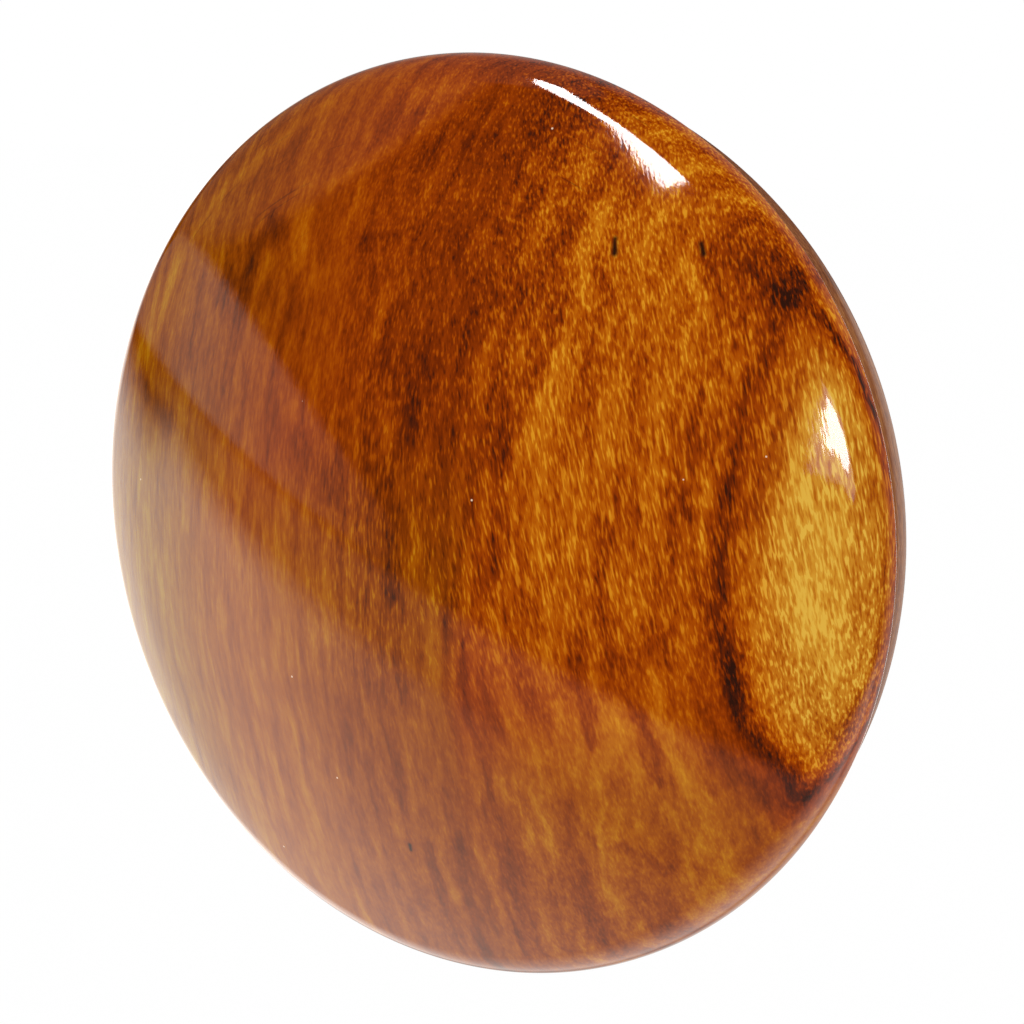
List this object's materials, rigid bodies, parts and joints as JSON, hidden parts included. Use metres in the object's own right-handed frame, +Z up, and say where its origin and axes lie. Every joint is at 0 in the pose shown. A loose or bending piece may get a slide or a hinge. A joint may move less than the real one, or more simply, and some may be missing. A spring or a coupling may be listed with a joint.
{
  "type": "wooden cabinet knob",
  "caption": "Large mushroom-shaped turned wooden knob with a domed, lacquered face, a waisted neck and a screw through its foot.",
  "frame": {"origin": "centre of the foot, on the plane where the knob meets a drawer front", "axes": "+Y along the knob's axis, out of the foot into the drawer front; the domed face looks along -Y; +Z up, along the head's grain"},
  "size_m": [0.05, 0.0358, 0.05],
  "materials": {
    "face_wood": "clear gloss lacquer over stained face grain",
    "neck_wood": "clear gloss lacquer over stained long grain",
    "brass": "machined",
    "zinc_steel": "bright zinc plate"
  },
  "bodies": {
    "knob": {"knob_head": "face_wood", "knob_neck": "neck_wood", "threaded_insert": "brass"},
    "washer": {"flat_washer": "zinc_steel"},
    "screw": {"fixing_screw": "zinc_steel"}
  },
  "joints": [
    {"name": "screw_travel", "type": "slide", "parent": "knob", "child": "washer", "axis": [0, 1, 0], "range_m": [0, 0.0189]},
    {"name": "screw_turn", "type": "hinge", "parent": "washer", "child": "screw", "pos_m": [0, 0, 0], "axis": [0, 1, 0], "range_deg": [0, 9720]}
  ],
  "couplings": [
    {"joint": "screw_turn", "follows": "screw_travel", "rad_per_m": 8976}
  ]
}
